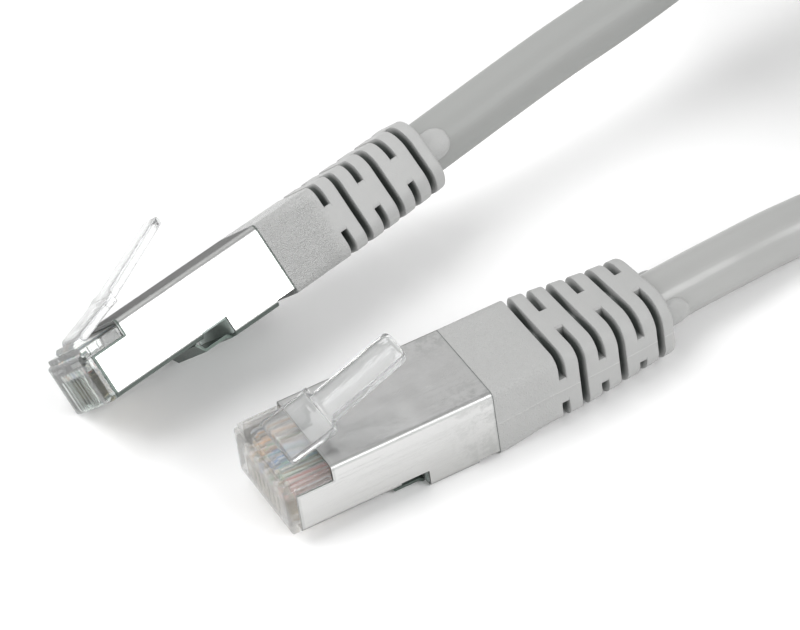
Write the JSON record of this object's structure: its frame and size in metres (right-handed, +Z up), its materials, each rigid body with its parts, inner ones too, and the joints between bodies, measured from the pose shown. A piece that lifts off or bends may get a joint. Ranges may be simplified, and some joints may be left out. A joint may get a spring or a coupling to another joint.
{
  "type": "ethernet patch cable",
  "caption": "Shielded network patch lead with a modular plug, a sprung latch lever and a ribbed boot at each end, its spare cable wound in a coil.",
  "frame": {"origin": "centre of the box round both plugs, on the surface that the lead lies on", "axes": "+X from the plugs' noses towards the cable, +Y from plug B to plug A, +Z up from the surface"},
  "size_m": [0.152, 0.0636, 0.025],
  "materials": {
    "clear_plastic": "clear moulded polycarbonate",
    "nickel_shield": "satin nickel plate, finely brushed",
    "guide_plastic": "frosted clear plastic",
    "gold_contact": "gold plate",
    "screen_foil": "bright foil",
    "tinned_wire": "tinned copper",
    "grey_boot": "matte moulded PVC with a fine texture",
    "grey_jacket": "semi-matte extruded PVC",
    "wire_white_orange": "wire insulation",
    "wire_orange": "wire insulation",
    "wire_white_green": "wire insulation",
    "wire_blue": "wire insulation",
    "wire_white_blue": "wire insulation",
    "wire_green": "wire insulation",
    "wire_white_brown": "wire insulation",
    "wire_brown": "wire insulation"
  },
  "bodies": {
    "lead": {"plug_body_a": "clear_plastic", "shield_a": "nickel_shield", "wire_guide_a": "guide_plastic", "screen_foil_a": "screen_foil", "drain_wire_a": "tinned_wire", "boot_a": "grey_boot", "contact_1_a": "gold_contact", "contact_2_a": "gold_contact", "contact_3_a": "gold_contact", "contact_4_a": "gold_contact", "contact_5_a": "gold_contact", "contact_6_a": "gold_contact", "contact_7_a": "gold_contact", "contact_8_a": "gold_contact", "wire_1_a": "wire_white_orange", "wire_2_a": "wire_orange", "wire_3_a": "wire_white_green", "wire_4_a": "wire_blue", "wire_5_a": "wire_white_blue", "wire_6_a": "wire_green", "wire_7_a": "wire_white_brown", "wire_8_a": "wire_brown", "plug_body_b": "clear_plastic", "shield_b": "nickel_shield", "wire_guide_b": "guide_plastic", "screen_foil_b": "screen_foil", "drain_wire_b": "tinned_wire", "boot_b": "grey_boot", "contact_1_b": "gold_contact", "contact_2_b": "gold_contact", "contact_3_b": "gold_contact", "contact_4_b": "gold_contact", "contact_5_b": "gold_contact", "contact_6_b": "gold_contact", "contact_7_b": "gold_contact", "contact_8_b": "gold_contact", "wire_1_b": "wire_white_orange", "wire_2_b": "wire_orange", "wire_3_b": "wire_white_green", "wire_4_b": "wire_blue", "wire_5_b": "wire_white_blue", "wire_6_b": "wire_green", "wire_7_b": "wire_white_brown", "wire_8_b": "wire_brown", "cable_run_a": "grey_jacket", "cable_run_b": "grey_jacket", "cable_coil": "grey_jacket"},
    "latch_a": {"latch_a": "clear_plastic"},
    "latch_b": {"latch_b": "clear_plastic"}
  },
  "joints": [
    {"name": "latch_a_press", "type": "hinge", "parent": "lead", "child": "latch_a", "pos_m": [-0.0252, 0.01053, 0.00889], "axis": [-0.0799, 0.7359, -0.6723], "range_deg": [0, 9], "stiffness_Nm_per_rad": 0.35},
    {"name": "latch_b_press", "type": "hinge", "parent": "lead", "child": "latch_b", "pos_m": [-0.01501, -0.01396, 0.00835], "axis": [0, 1, 0], "range_deg": [0, 9], "stiffness_Nm_per_rad": 0.35}
  ]
}
